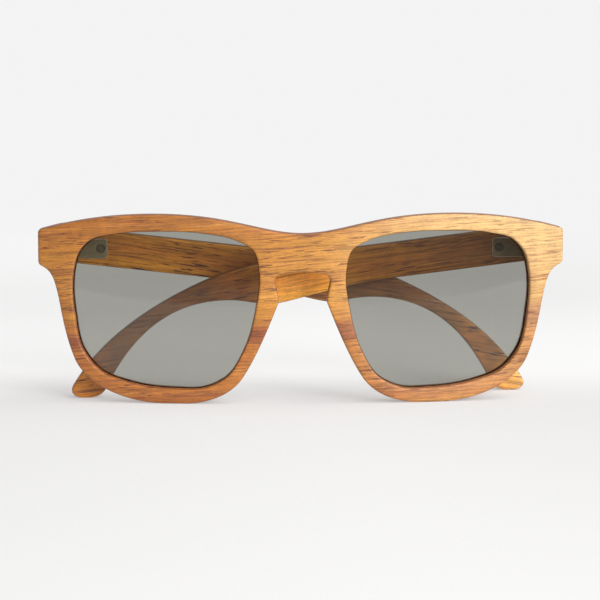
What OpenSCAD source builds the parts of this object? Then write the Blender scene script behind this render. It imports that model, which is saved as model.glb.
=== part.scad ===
// Wooden sunglasses, folded, with keyhole bridge, tinted lenses and sprung hinges.
// They stand on the rim bottoms and the temple tips, with the front facing -Y.
// Left and right are the wearer's: left is +X.

/* [Lenses] */
// Width of a lens opening
lens_w = 50.4; // [46:0.2:54]
// Height of a lens opening
lens_h = 42.6; // [39:0.2:47]
// Thickness of a lens
lens_t = 1.5; // [1.3:0.1:1.6]
// Depth of the lens edge in its groove
lens_seat = 0.9; // [0.6:0.1:1.1]
// Depth of a lens behind the face of the front
lens_set = 1.5; // [1:0.1:1.6]
// Play of a lens in its groove
lens_play = 0.05; // [0.02:0.01:0.1]

/* [Front] */
// Gap between the two lens openings
bridge_w = 23.4; // [21:0.2:26]
// Height of the bridge in the middle
bridge_h = 10.2; // [9:0.1:12]
// Dip of the bridge below the brows
bridge_dip = 5.1; // [4:0.1:6]
// Width of the rim above a lens
brow_rim = 4.5; // [4:0.1:6]
// Width of the rim below a lens
bottom_rim = 4; // [3.5:0.1:5]
// Width of the rim beside a lens
side_rim = 3.4; // [3:0.1:4]
// Width of the rim at the foot of the nose
nose_rim = 4.6; // [4:0.1:5.5]
// Distance of the brow's top outwards from the middle of the lens
brow_shift = 2; // [0:0.5:4]
// Reach of an end piece past its lens opening
end_reach = 8.9; // [8.5:0.1:11]
// Height of an end piece
end_h = 10; // [9:0.1:11]
// Drop of an end piece below the brow
end_drop = 4.2; // [3.5:0.1:5]
// Rounding of the top corner of an end piece
end_round = 1.2; // [0.8:0.1:1.6]
// Rounding of the lower corner of an end piece
end_curl = 0.8; // [0.6:0.1:1.2]
// Wall between the lens groove and the thicker part of an end piece
end_wall = 0.5; // [0.4:0.1:1]
// Length of the ramp up to the thicker part of an end piece
end_ramp = 1.6; // [1:0.1:2]
// Width of the nose gap at its narrowest place
nose_gap = 13.1; // [12:0.1:14]
// Width of the keyhole above the nose gap
keyhole_w = 14.8; // [14:0.1:16]
// Height of the keyhole above the narrowest place
keyhole_h = 8.4; // [7:0.1:9]
// Rise of the arch over the keyhole
keyhole_round = 2.8; // [1.5:0.1:3]
// Radius of the curve of the front round the face
front_curve = 330; // [300:5:400]
// Thickness of the front
front_t = 4.4; // [4.2:0.1:5]
// Length of a carved nose pad
pad_l = 16; // [13:0.5:17]
// Depth of a carved nose pad behind the front
pad_depth = 4; // [3:0.1:4.5]
// Width of a carved nose pad
pad_w = 2.7; // [2:0.1:3]
// Length of the flat that a rim stands on
foot_l = 5; // [3:0.5:6]
// Distance of that flat inwards from the middle of the lens
foot_shift = 2.4; // [1:0.1:4]

/* [Temples] */
// Thickness of a temple
temple_t = 3.8; // [3.6:0.1:4.4]
// Height of a temple
temple_h = 9.7; // [9:0.1:11]
// Height of a temple's top edge above the hinge
temple_over = 6.2; // [5:0.1:6.5]
// Droop of a temple from the level, in degrees
temple_droop = 6.8; // [6:0.1:8]
// Length of the straight part of a temple's top edge
straight_l = 52; // [46:0.5:56]
// Length of the straight part of a temple's lower edge
low_l = 40; // [34:0.5:44]
// Distance from the hinge to the ear bend
ear_l = 85.5; // [82:0.5:90]
// Drop of the ear bend below the hinge
ear_drop = 14.1; // [13:0.1:15]
// Height of a temple at the ear bend
ear_h = 5.2; // [4.5:0.1:6]
// Distance from the ear bend back to the heel
heel_l = 11.5; // [10:0.1:13]
// Drop of the heel below the ear bend
heel_drop = 1.2; // [1:0.1:2]
// Distance from the ear bend to the tip
hook_l = 42.9; // [41:0.1:46]
// Width of the tip
tip_w = 9.2; // [8:0.1:10]
// Rounding of the tip
tip_round = 3; // [2.5:0.1:4]
// Length of the flat that a tip stands on
tip_flat = 1.6; // [0.8:0.1:2]
// Gap between the folded temples where they cross
cross_gap = 0.4; // [0.3:0.05:0.8]

/* [Hinges] */
// Height of the hinge above the foot of the end piece
hinge_rise = 3.7; // [3:0.1:4.2]
// Distance from the end piece to the hinge axis
hinge_back = 1.6; // [1.5:0.1:2]
// Distance from the hinge axis to the temple
hinge_inset = 1.5; // [1.45:0.05:2]
// Gap between the end piece and an open temple
butt_gap = 0.4; // [0.3:0.05:0.5]
// Radius of a knuckle
knuckle_r = 1.35; // [1.2:0.05:1.4]
// Height of the middle knuckle
knuckle_h = 1.6; // [1.4:0.1:1.8]
// Height of an outer knuckle
fork_h = 1.3; // [1.1:0.1:1.4]
// Gap between two knuckles
knuckle_gap = 0.05; // [0.03:0.01:0.08]
// Width of the webs of the knuckles
web_w = 1.8; // [1.6:0.1:2]
// Radius of the hinge screw
pin_r = 0.6; // [0.5:0.05:0.7]
// Radius of the head of the hinge screw
pin_head_r = 1.1; // [1:0.05:1.2]
// Height of the head of the hinge screw
pin_head_h = 0.6; // [0.5:0.05:0.8]
// Play of the hinge screw in its bores
pin_play = 0.05; // [0.03:0.01:0.08]
// Width of the front leaf
leaf_w = 5.4; // [5:0.1:5.8]
// Reach of the front leaf inwards from the hinge axis
leaf_in = 1.6; // [1.4:0.05:1.8]
// Thickness of the front leaf
leaf_t = 0.9; // [0.8:0.05:1.1]
// Rounding of the corners of the leaf and the housing
plate_round = 1; // [0.6:0.1:1.4]
// Thickness of the bar of the slider
bar_t = 1.3; // [1.1:0.05:1.4]
// Reach of the bar past the hinge axis
bar_l = 4; // [3.5:0.1:5]
// Height of the bar of the slider
bar_h = 4; // [3.6:0.1:4.2]
// Radius of the rod of the slider
rod_r = 0.38; // [0.3:0.02:0.4]
// Length of the housing
housing_l = 11.4; // [10.6:0.1:13]
// Height of the housing and of the front leaf
housing_h = 5.4; // [5.2:0.1:5.6]
// Thickness of the housing
housing_t = 2.5; // [2.4:0.05:2.6]
// Height of the housing above the wood
housing_proud = 0.1; // [0.05:0.05:0.2]
// Wall of the housing over the bar
housing_skin = 0.4; // [0.3:0.05:0.5]
// Gap between the knuckles and the housing
housing_gap = 0.35; // [0.3:0.05:0.6]
// Thickness of the wall that the spring pushes on
gate_t = 0.6; // [0.5:0.05:0.8]
// Length of the spring
spring_l = 3.6; // [3.4:0.1:4]
// Number of turns of the spring
spring_turns = 5; // [4:1:6]
// Radius of the spring wire
wire_r = 0.1; // [0.08:0.01:0.12]
// Thickness of the stop on the rod
stop_t = 0.7; // [0.5:0.05:0.8]
// Room behind the stop
stop_room = 0.4; // [0.3:0.05:0.6]
// Radius of the shank of a small screw
screw_r = 0.5; // [0.4:0.05:0.55]
// Radius of the head of a small screw
head_r = 0.95; // [0.85:0.05:1]
// Depth of the head of a small screw
head_h = 0.5; // [0.4:0.05:0.6]
// Depth of a small screw in the wood
screw_bite = 1; // [0.8:0.1:1.1]
// Width of a screw slot
slot_w = 0.28; // [0.2:0.02:0.3]
// Depth of a screw slot
slot_h = 0.2; // [0.15:0.05:0.3]
// Play between small parts
play = 0.05; // [0.03:0.01:0.08]

/* [Hidden] */
$fn = 64;
wood = "#c98d55";
wood_temple = "#b87c45";
tint = "#8c8c86";
steel = "#8d8a80";
dark_steel = "#5c5a54";

// Steps on each curve of an outline, and facets on the large curved faces
curve_steps = 8;
lens_steps = 4;
large_fn = 256;
// Extra length of a cutting tool
over = 1;

// Levels and half widths of the front
lens_x = (bridge_w + lens_w) / 2;
lens_z = bottom_rim + lens_h / 2;
lens_out = lens_x + lens_w / 2;
top_z = bottom_rim + lens_h + brow_rim;
half_w = lens_out + end_reach;
end_top = top_z - end_drop;
end_foot = end_top - end_h;
bridge_top = top_z - bridge_dip;
notch_z = bridge_top - bridge_h;
gap_z = notch_z - keyhole_h;
foot_x = lens_x - foot_shift;
brow_x = lens_x + brow_shift;
// Angle that a lens faces outwards
lens_turn = asin(lens_x / front_curve);

// Depth of the front and rear face of the front at a distance from the middle
function face_y(x) = front_curve - sqrt(pow(front_curve, 2) - pow(x, 2));
function rear_y(x) = front_curve - sqrt(pow(front_curve - front_t, 2) - pow(x, 2));

// The hinge axis, and the angle of each folded temple to the front
end_y = rear_y(half_w);
hinge_x = half_w - temple_t - hinge_inset;
hinge_y = end_y + hinge_back;
hinge_z = end_foot + hinge_rise;
lean = asin((temple_t + cross_gap) / (2 * hinge_x));
butt = hinge_back - butt_gap;

// Points of a curve from a to b, without b. It leaves and arrives at the given angles,
// with handles that are shares of the distance between a and b.
function bend(a, b, leave, arrive, first, last) =
    let (
        d = norm(b - a),
        p = a + first * d * [cos(leave), sin(leave)],
        q = b - last * d * [cos(arrive), sin(arrive)]
    ) [
        for (i = [0 : curve_steps - 1])
            let (t = i / curve_steps, s = 1 - t)
                s * s * s * a + 3 * s * s * t * p + 3 * s * t * t * q + t * t * t * b
    ];

// Points of a smooth closed curve through the given points
function span(p, i) = norm(p[(i + 1) % len(p)] - p[i % len(p)]);
function slope(p, i) =
    let (n = len(p), a = span(p, i + n - 1), b = span(p, i))
        ((p[(i + 1) % n] - p[i]) * a / b + (p[i] - p[(i + n - 1) % n]) * b / a) / (a + b);
function closed(p) = [
    for (i = [0 : len(p) - 1], k = [0 : lens_steps - 1])
        let (j = (i + 1) % len(p), t = k / lens_steps, s = 1 - t, d = span(p, i))
            s * s * (1 + 2 * t) * p[i] + t * t * (1 + 2 * s) * p[j]
            + d * t * s * (s * slope(p, i) - t * slope(p, j))
];
// A closed curve that runs anticlockwise, moved outwards by a distance
function grow(p, d) = [
    for (i = [0 : len(p) - 1])
        let (n = len(p), t = p[(i + 1) % n] - p[(i + n - 1) % n])
            p[i] + d * [t[1], -t[0]] / norm(t)
];
function flip(p) = [for (i = [len(p) - 1 : -1 : 0]) [-p[i][0], p[i][1]]];
function inner(p) = [for (i = [1 : len(p) - 2]) p[i]];

// Shape of a lens opening in half widths and half heights, from the temple side round by the top
lens_shape = [
    [1, 0.22], [0.985, 0.5], [0.93, 0.72], [0.81, 0.875], [0.57, 0.958], [0.1, 1],
    [-0.4, 0.98], [-0.76, 0.89], [-0.94, 0.765], [-1, 0.5], [-0.96, 0], [-0.835, -0.505],
    [-0.645, -0.85], [-0.415, -0.985], [-0.1, -1], [0.395, -0.925], [0.695, -0.79],
    [0.88, -0.54], [0.98, -0.035]
];
lens_edge = closed([for (s = lens_shape) [s[0] * lens_w / 2, s[1] * lens_h / 2]]);

// A place on the outside of a rim, in half widths and half heights of the lens
function rim(x, z, w) = [lens_x + x * lens_w / 2 + w, lens_z + z * lens_h / 2];
waist = rim(1.02, 0.23, side_rim);
rim_low = rim(0.84, -0.63, side_rim);
nose_low = rim(-0.627, -0.88, -nose_rim);
nose_high = [nose_gap / 2, gap_z];
brow = [brow_x, top_z];
end_turn = [half_w - end_curl, end_foot];
key_side = [keyhole_w / 2, notch_z - keyhole_round];

// Half of the outline of the front, from the top of the bridge round to the keyhole
front_half = concat(
    bend([0, bridge_top], brow, 0, 0, 0.28, 0.51),
    bend(brow, [half_w - end_round, end_top], 0, -15, 0.385, 0.325),
    bend([half_w - end_round, end_top], [half_w, end_top - end_round], -15, -90, 0.43, 0.41),
    [[half_w, end_top - end_round]],
    bend([half_w, end_foot + end_curl], end_turn, -90, -155, 0.4, 0.4),
    bend(end_turn, waist, -155, -104, 0.38, 0.45),
    bend(waist, rim_low, -104, -112, 0.216, 0.423),
    bend(rim_low, [foot_x + foot_l / 2, 0], -112, -180, 0.27, 0.42),
    [[foot_x + foot_l / 2, 0]],
    bend([foot_x - foot_l / 2, 0], nose_low, 180, 127, 0.297, 0.38),
    bend(nose_low, nose_high, 125, 111, 0.272, 0.32),
    bend(nose_high, key_side, 106, 79, 0.237, 0.387),
    bend(key_side, [0, notch_z], 81, 180, 0.26, 0.62),
    [[0, notch_z]]
);
front_edge = concat(front_half, inner(flip(front_half)));

// Outline of a temple: distance from the hinge axis, and height
ear_z = hinge_z - ear_drop;
tip = ear_l + hook_l;
tip_in = [tip - tip_w, 0.7 * tip_round];
tip_out = [tip - 0.1 * tip_round, tip_round];
ear = [ear_l, ear_z];
ear_top = [ear_l + 1.3 * ear_h, ear_z + ear_h];
heel = [ear_l - heel_l, ear_z - heel_drop];
function temple_top(u) = hinge_z + temple_over - u * tan(temple_droop);
function temple_low(u) = temple_top(u) - temple_h;
temple_edge = concat(
    [[-butt, temple_top(-butt)]],
    bend([straight_l, temple_top(straight_l)], ear_top, -temple_droop, -24, 0.44, 0.24),
    bend(ear_top, tip_out, -24, -60, 0.3, 0.35),
    bend(tip_out, [tip - tip_round, 0], -62, -180, 0.44, 0.5),
    [[tip - tip_round, 0]],
    bend([tip - tip_round - tip_flat, 0], tip_in, 180, 124, 0.33, 0.36),
    bend(tip_in, ear, 116, 180, 0.3, 0.45),
    bend(ear, heel, 180, 180, 0.43, 0.345),
    bend(heel, [low_l, temple_low(low_l)], 180, 180 - temple_droop, 0.13, 0.464),
    [[low_l, temple_low(low_l)], [-butt, temple_low(-butt)]]
);

// Places of the hinge parts: along the temple, and into it from the hinge axis
temple_out = hinge_inset + temple_t;
housing_in = hinge_inset - housing_proud;
housing_out = housing_in + housing_t;
housing_from = knuckle_r + housing_gap;
housing_to = housing_from + housing_l;
rod_w = housing_in + housing_skin + play + bar_t / 2;
fork_z = knuckle_h / 2 + knuckle_gap;
fork_top = fork_z + fork_h;
gate_from = bar_l + play;
spring_from = gate_from + gate_t;
stop_from = spring_from + spring_l;
bore_to = stop_from + stop_t + stop_room;
coil_r = rod_r + 2 * play + wire_r;
bore_r = coil_r + wire_r + play;
housing_screw_u = (bore_to + housing_to) / 2;
leaf_from = leaf_w - leaf_in;
leaf_screw_u = -(leaf_from + knuckle_r) / 2;
leaf_screw_z = housing_h / 4;
screw_end = housing_out + screw_bite;

// The middle of the folded pair, from front to back
tip_reach = max([for (p = temple_edge) p[0]]);
mid_y = (hinge_y + temple_out * cos(lean) + tip_reach * sin(lean)) / 2;

// An outline in the X-Z plane, drawn out from one depth to another
module draw(edge, from, to)
    translate([0, to, 0])
        rotate([90, 0, 0])
            linear_extrude(to - from)
                polygon(edge);

// A block between two corners
module block(low, high)
    translate(low)
        cube(high - low);

// A round rod along the temple or into it
module rod_along(r, from, to)
    translate([from, 0, 0])
        rotate([0, 90, 0])
            cylinder(r = r, h = to - from);
module rod_into(r, from, to)
    translate([0, from, 0])
        rotate([-90, 0, 0])
            cylinder(r = r, h = to - from);

// A plate with round corners, in the X-Z plane
module plate(low, high, r, from, to) {
    corners = [[high[0] - r, high[1] - r], [low[0] + r, high[1] - r],
        [low[0] + r, low[1] + r], [high[0] - r, low[1] + r]];
    draw([
        for (i = [0 : 3], k = [0 : 5])
            corners[i] + r * [cos(90 * i + 18 * k), sin(90 * i + 18 * k)]
    ], from, to);
}

// A small countersunk screw, its head flush at the depth 0
module small_screw(depth) {
    difference() {
        union() {
            rotate([-90, 0, 0])
                cylinder(r1 = head_r, r2 = screw_r, h = head_h);
            rod_into(screw_r, head_h, depth);
        }
        block([-head_r - over, -over, -slot_w / 2], [head_r + over, slot_h, slot_w / 2]);
    }
}
module small_screw_hole(depth) {
    translate([0, -play, 0])
        rotate([-90, 0, 0])
            cylinder(r1 = head_r + 2 * play, r2 = screw_r + play, h = head_h + play);
    rod_into(screw_r + play, 0, depth + play);
    rod_into(head_r + 2 * play, -over, -play);
}

// Places: a side of the front, a lens, a hinge on the front, and a folded temple
module side(name)
    translate([0, -mid_y, 0])
        mirror([name == "left" ? 0 : 1, 0, 0])
            children();
module at_lens(name)
    side(name)
        translate([lens_x, face_y(lens_x), lens_z])
            rotate([0, 0, lens_turn])
                children();
module at_hinge(name)
    side(name)
        translate([hinge_x, hinge_y, hinge_z])
            mirror([1, 0, 0])
                children();
module at_temple(name)
    at_hinge(name)
        rotate([0, 0, name == "left" ? -lean : lean])
            children();

// A shell between two balls round the middle of the front's curve
module lens_shell(front, rear)
    translate([0, front_curve, 0])
        difference() {
            sphere(r = front_curve - front, $fn = large_fn);
            sphere(r = front_curve - rear, $fn = large_fn);
        }
module lens_body(grown, slack)
    intersection() {
        draw(grow(lens_edge, grown), -over, 2 * front_t);
        lens_shell(lens_set - slack, lens_set + lens_t + slack);
    }

// The curved sheet that the front is cut from
module sheet()
    translate([0, front_curve, -over])
        difference() {
            cylinder(r = front_curve, h = top_z + 2 * over, $fn = large_fn);
            translate([0, 0, -over])
                cylinder(r = front_curve - front_t, h = top_z + 4 * over, $fn = large_fn);
        }

// The thicker end of the front that carries the hinge leaf
module end_block() {
    from = lens_out + lens_seat + end_wall;
    translate([0, 0, end_foot - hinge_rise])
        linear_extrude(top_z)
            polygon([
                [from, rear_y(from)], [from + end_ramp, end_y], [half_w + over, end_y],
                [half_w + over, end_y - front_t / 2], [from, rear_y(from) - front_t / 2]
            ]);
}

// The nose pad: a strip along the nose gap under a ball
module nose_pad() {
    z = gap_z - pad_l / 2;
    x = lookup(z, [[nose_low[1], nose_low[0]], [nose_high[1], nose_high[0]]]) + pad_w / 2;
    r = (pow(pad_l / 2, 2) + pow(pad_depth, 2)) / (2 * pad_depth);
    reach = [pad_w, 0];
    intersection() {
        draw([nose_high - reach, nose_low - reach, nose_low + reach, nose_high + reach],
            front_t / 2, 3 * front_t);
        translate([x, rear_y(x) + pad_depth - r, z])
            sphere(r = r);
    }
}

module front_frame() {
    color(wood)
        difference() {
            translate([0, -mid_y, 0])
                intersection() {
                    draw(front_edge, -over, 3 * front_t);
                    union() {
                        sheet();
                        for (m = [0, 1])
                            mirror([m, 0, 0]) {
                                end_block();
                                nose_pad();
                            }
                    }
                }
            for (name = ["left", "right"]) {
                at_lens(name) {
                    draw(lens_edge, -3 * front_t, 4 * front_t);
                    lens_body(lens_seat + lens_play, lens_play);
                }
                at_hinge(name) {
                    leaf_plate(play, hinge_back - over);
                    leaf_screw_places()
                        small_screw_hole(leaf_t + screw_bite * 2);
                }
            }
        }
}

// The plate of the front leaf, let into the end piece
module leaf_plate(slack, rear)
    plate([-leaf_from - slack, -housing_h / 2 - slack],
        [leaf_in + slack, housing_h / 2 + slack],
        plate_round + slack, -hinge_back - leaf_t - slack, -rear);
module leaf_screw_places()
    for (z = [-leaf_screw_z, leaf_screw_z])
        translate([leaf_screw_u, -hinge_back, z])
            mirror([0, 1, 0])
                children();

module front_leaf()
    color(steel)
        difference() {
            union() {
                leaf_plate(0, hinge_back);
                translate([0, 0, -knuckle_h / 2])
                    cylinder(r = knuckle_r, h = knuckle_h);
                block([-web_w / 2, -hinge_back - leaf_t / 2, -knuckle_h / 2],
                    [web_w / 2, 0, knuckle_h / 2]);
            }
            translate([0, 0, -knuckle_h])
                cylinder(r = pin_r + pin_play, h = 2 * knuckle_h);
            leaf_screw_places()
                small_screw_hole(leaf_t + over);
        }

module leaf_screws()
    color(dark_steel)
        leaf_screw_places()
            small_screw(leaf_t + screw_bite * 2);

module hinge_screw()
    color(dark_steel)
        difference() {
            union() {
                translate([0, 0, -fork_top])
                    cylinder(r = pin_r, h = 2 * fork_top);
                translate([0, 0, fork_top])
                    cylinder(r = pin_head_r, h = pin_head_h);
            }
            block([-knuckle_r, -slot_w / 2, fork_top + pin_head_h - slot_h],
                [knuckle_r, slot_w / 2, fork_top + pin_head_h + over]);
        }

// The sprung slider: two knuckles on a bar, with a rod for the spring
module slider()
    color(steel)
        difference() {
            union() {
                for (m = [0, 1])
                    mirror([0, 0, m]) {
                        translate([0, 0, fork_z])
                            cylinder(r = knuckle_r, h = fork_h);
                        block([-web_w / 2, 0, fork_z], [web_w / 2, rod_w, bar_h / 2]);
                    }
                block([-web_w / 2, rod_w - bar_t / 2, -bar_h / 2],
                    [bar_l, rod_w + bar_t / 2, bar_h / 2]);
                translate([0, rod_w, 0])
                    rod_along(rod_r, bar_l / 2, stop_from + stop_t);
            }
            translate([0, 0, -2 * fork_top])
                cylinder(r = pin_r + pin_play, h = 4 * fork_top);
        }

// The coil spring round the rod, as rings of points along a helix
module spring() {
    sides = 6;
    rings = 8 * spring_turns;
    from = spring_from + wire_r + play / 2;
    pitch = (spring_l - 2 * wire_r - play) / rings;
    points = [
        for (i = [0 : rings], k = [0 : sides - 1])
            let (turn = 45 * i, part = 60 * k, r = coil_r + wire_r * cos(part))
                [from + pitch * i + wire_r * sin(part), rod_w + r * cos(turn), r * sin(turn)]
    ];
    faces = concat(
        [[for (k = [0 : sides - 1]) k]],
        [
            for (i = [0 : rings - 1], k = [0 : sides - 1])
                let (a = i * sides, n = (k + 1) % sides)
                    each [[a + k, a + sides + k, a + n], [a + n, a + sides + k, a + sides + n]]
        ],
        [[for (k = [sides - 1 : -1 : 0]) rings * sides + k]]
    );
    color("silver")
        polyhedron(points, faces);
}

module spring_stop()
    color(dark_steel)
        translate([0, rod_w, 0])
            difference() {
                rod_along(coil_r + wire_r, stop_from, stop_from + stop_t);
                rod_along(rod_r + play / 2, stop_from - over, stop_from + stop_t + over);
            }

// The housing in the temple, open at the hinge for the bar
module housing()
    color(steel)
        difference() {
            plate([housing_from, -housing_h / 2], [housing_to, housing_h / 2], plate_round,
                housing_in, housing_out);
            block([0, rod_w - bar_t / 2 - play, -bar_h / 2 - play],
                [gate_from, rod_w + bar_t / 2 + play, bar_h / 2 + play]);
            translate([0, rod_w, 0]) {
                rod_along(rod_r + play, gate_from - over, spring_from + over);
                rod_along(bore_r, spring_from, bore_to);
            }
            translate([housing_screw_u, housing_in, 0])
                small_screw_hole(housing_t + over);
        }

module housing_screw()
    color(dark_steel)
        translate([housing_screw_u, housing_in, 0])
            small_screw(screw_end - housing_in);

module temple()
    color(wood_temple)
        difference() {
            translate([0, 0, -hinge_z])
                draw(temple_edge, hinge_inset, temple_out);
            plate([-butt - 2 * plate_round, -housing_h / 2 - play],
                [housing_to + play, housing_h / 2 + play], plate_round + play, 0, housing_out + play);
            translate([housing_screw_u, housing_in, 0])
                rod_into(screw_r + play, 0, screw_end - housing_in + play);
        }

module lens()
    color(tint, 0.6)
        lens_body(lens_seat, 0);

module lens_left() { at_lens("left") lens(); }
module lens_right() { at_lens("right") lens(); }
module temple_left() { at_temple("left") temple(); }
module temple_right() { at_temple("right") temple(); }
module front_leaf_left() { at_hinge("left") front_leaf(); }
module front_leaf_right() { at_hinge("right") front_leaf(); }
module leaf_screws_left() { at_hinge("left") leaf_screws(); }
module leaf_screws_right() { at_hinge("right") leaf_screws(); }
module hinge_screw_left() { at_temple("left") hinge_screw(); }
module hinge_screw_right() { at_temple("right") hinge_screw(); }
module slider_left() { at_temple("left") slider(); }
module slider_right() { at_temple("right") slider(); }
module spring_left() { at_temple("left") spring(); }
module spring_right() { at_temple("right") spring(); }
module spring_stop_left() { at_temple("left") spring_stop(); }
module spring_stop_right() { at_temple("right") spring_stop(); }
module housing_left() { at_temple("left") housing(); }
module housing_right() { at_temple("right") housing(); }
module housing_screw_left() { at_temple("left") housing_screw(); }
module housing_screw_right() { at_temple("right") housing_screw(); }

front_frame();
lens_left();
lens_right();
temple_left();
temple_right();
front_leaf_left();
front_leaf_right();
leaf_screws_left();
leaf_screws_right();
hinge_screw_left();
hinge_screw_right();
slider_left();
slider_right();
spring_left();
spring_right();
spring_stop_left();
spring_stop_right();
housing_left();
housing_right();
housing_screw_left();
housing_screw_right();
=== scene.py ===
"""Looks of the folded wooden sunglasses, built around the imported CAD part.

Left and right are the wearer's: left is +X. Sizes are in millimetres, and become metres when a mesh is made.
"""
import math

import bmesh
import bpy
import numpy as np
from mathutils import Matrix, Vector
from mathutils.geometry import delaunay_2d_cdt


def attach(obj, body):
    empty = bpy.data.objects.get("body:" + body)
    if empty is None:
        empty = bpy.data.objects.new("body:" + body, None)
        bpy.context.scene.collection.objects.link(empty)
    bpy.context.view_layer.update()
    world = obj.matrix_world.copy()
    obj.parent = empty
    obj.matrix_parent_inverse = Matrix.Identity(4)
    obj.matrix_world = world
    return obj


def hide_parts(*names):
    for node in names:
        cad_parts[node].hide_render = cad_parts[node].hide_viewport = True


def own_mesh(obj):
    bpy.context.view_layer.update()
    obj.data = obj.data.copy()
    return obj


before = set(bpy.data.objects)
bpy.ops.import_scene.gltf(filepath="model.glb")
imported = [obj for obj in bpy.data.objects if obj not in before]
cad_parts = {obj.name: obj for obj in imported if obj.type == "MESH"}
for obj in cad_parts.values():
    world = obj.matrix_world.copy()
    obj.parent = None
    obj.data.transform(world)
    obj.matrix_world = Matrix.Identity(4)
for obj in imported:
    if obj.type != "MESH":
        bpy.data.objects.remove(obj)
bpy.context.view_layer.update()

MM = 0.001

# Places, as in the CAD part: the left hinge's axis, half of the folded depth, and the folded temples' lean
HINGE_X = 65.7
HINGE_Y = 13.8354
HINGE_Z = 40.6
MID_Y = 11.617
LEAN = math.radians(1.83168)

# Sizes of the front, as in the CAD part
FRONT_R = 330.0
FRONT_T = 4.4
HALF_W = 71.0
TOP_Z = 51.1
BROW_OUT = 2
BRIDGE_TOP = 46.0
NOTCH_Z = 35.8
GAP_Z = 27.4
END_TOP = 46.9
END_FOOT = 36.9
END_ROUND = 1.2
END_CURL = 0.8
CURL_RISE = 1.57 * END_CURL
SIDE_RIM = 3.4
NOSE_RIM = 4.6
NOSE_GAP = 13.1
KEYHOLE_W = 14.8
KEYHOLE_ROUND = 2.8
FOOT_X = 34.5
FOOT_L = 5.0
PAD_L = 16.0
PAD_DEPTH = 4.0
PAD_W = 2.7

# Sizes of the lenses, as in the CAD part
LENS_X = 36.9
LENS_Z = 25.3
LENS_W = 50.4
LENS_H = 42.6
LENS_SEAT = 0.9
LENS_SET = 1.5
LENS_T = 1.5
PLAY = 0.05
LENS_TURN = math.asin(LENS_X / FRONT_R)

# Outline of a lens opening, in half widths and half heights
LENS_SHAPE = [
    (1, 0.22), (0.985, 0.5), (0.93, 0.72), (0.81, 0.875), (0.57, 0.958), (0.1, 1),
    (-0.4, 0.98), (-0.76, 0.89), (-0.94, 0.765), (-1, 0.5), (-0.96, 0), (-0.835, -0.505),
    (-0.645, -0.85), (-0.415, -0.985), (-0.1, -1), (0.395, -0.925), (0.695, -0.79),
    (0.88, -0.54), (0.98, -0.035),
]

# Sizes of the temples, as in the CAD part
TEMPLE_IN = 1.5
TEMPLE_OUT = 5.3
TEMPLE_H = 9.7
TEMPLE_OVER = 6.2
TEMPLE_DROOP = 6.8
BUTT = 1.2
STRAIGHT_L = 52.0
LOW_L = 40.0
EAR_L = 85.5
EAR_Z = 26.5
EAR_H = 5.2
EAR_SLANT = 1.3 * EAR_H
HEEL_L = 11.5
HEEL_DROP = 1.2
TIP = 128.4
TIP_W = 9.2
TIP_ROUND = 3.0
TIP_SLANT = 0.1 * TIP_ROUND
TIP_IN_Z = 0.7 * TIP_ROUND
TIP_FLAT = 1.6

# Sizes of the hinges, as in the CAD part
HINGE_BACK = 1.6
HOUSING_TO = 13.1
HOUSING_H = 5.4
HOUSING_DEEP = 3.95
HOUSING_SCREW_U = 11.225
LEAF_FROM = 3.8
LEAF_IN = 1.6
LEAF_T = 0.9
LEAF_SCREW_X = 2.575
LEAF_SCREW_DEEP = 2.05
PLATE_ROUND = 1.0
SCREW_R = 0.55
ROD_W = 2.5
SPRING_FROM = 4.65
SPRING_L = 3.6
SPRING_TURNS = 5
COIL_R = 0.58
WIRE_R = 0.1

# The rear of the front: where its end blocks rise, and how full its nose pads are
BLOCK_FROM = 63.5
BLOCK_RAMP = 1.6
BLOCK_BELOW = 3.7
BLOCK_FOOT_RAMP = 1.2
PAD_PLACE = 0.54
PAD_FULLNESS = 0.8
PAD_SHARE = 0.97
PAD_FLAT = 0.5
PAD_TRIM = 0.4

# Roundings of the looks
FRONT_EDGE = 0.7
LIP_EDGE = 0.6
REAR_LIP_EDGE = 0.35
TEMPLE_EDGE = 0.8
TEMPLE_CORNER = 1.3 * TEMPLE_EDGE
LENS_EDGE = 0.2
# Width of the lens's line of painted shade where it enters the rim
LENS_SHADE_LINE = 0.35
PLATE_EDGE = 0.2
METAL_EDGE = 0.12

# Mesh sizes: spacing of points, steps of curves and round shapes, and angles in degrees
SPACING = 0.7
BEND_STEPS = 6
CURVE_STEPS = 4
FRONT_PITCH = 1.0
TEMPLE_PITCH = 1.4
LENS_PITCH = 2.0
ROUND_STEPS = 4
CORNER_STEPS = 6
HOLE_SIDES = 24
COIL_STEPS = 16
WIRE_SIDES = 8
EDGE_STEPS = 2
WOOD_SHARP = 40
LENS_SHARP = 25
METAL_SHARP = 35
METAL_FLAT = 1

# Slivers to close, reach of cutting tools, nearness of equal points, parts of an edge, and room in pitches
SLIVER = 0.05
OVER = 1.0
SAME_POINT = 1e-7
WELD_PARTS = 10
EDGE_CLEAR = 0.7

# How far a normal turns sideways before the wood's darker wall colour, partly painted shade, starts, and over
# which span
WALL_FROM = 0.25
WALL_SPAN = 0.4


# Curves and outlines

def ease(t):
    """0 below 0, 1 above 1, and smooth between."""
    t = min(max(t, 0.0), 1.0)
    return t * t * (3 - 2 * t)


def bend(a, b, leave, arrive, first, last):
    """Points of a curve from a to b, without b, with handles as shares of the distance."""
    d = math.dist(a, b)
    p = (a[0] + first * d * math.cos(math.radians(leave)), a[1] + first * d * math.sin(math.radians(leave)))
    q = (b[0] - last * d * math.cos(math.radians(arrive)), b[1] - last * d * math.sin(math.radians(arrive)))
    steps = max(BEND_STEPS, round(d / SPACING))
    points = []
    for i in range(steps):
        t = i / steps
        s = 1 - t
        points.append(tuple(
            s ** 3 * a[k] + 3 * s * s * t * p[k] + 3 * s * t * t * q[k] + t ** 3 * b[k] for k in (0, 1)
        ))
    return points


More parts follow.
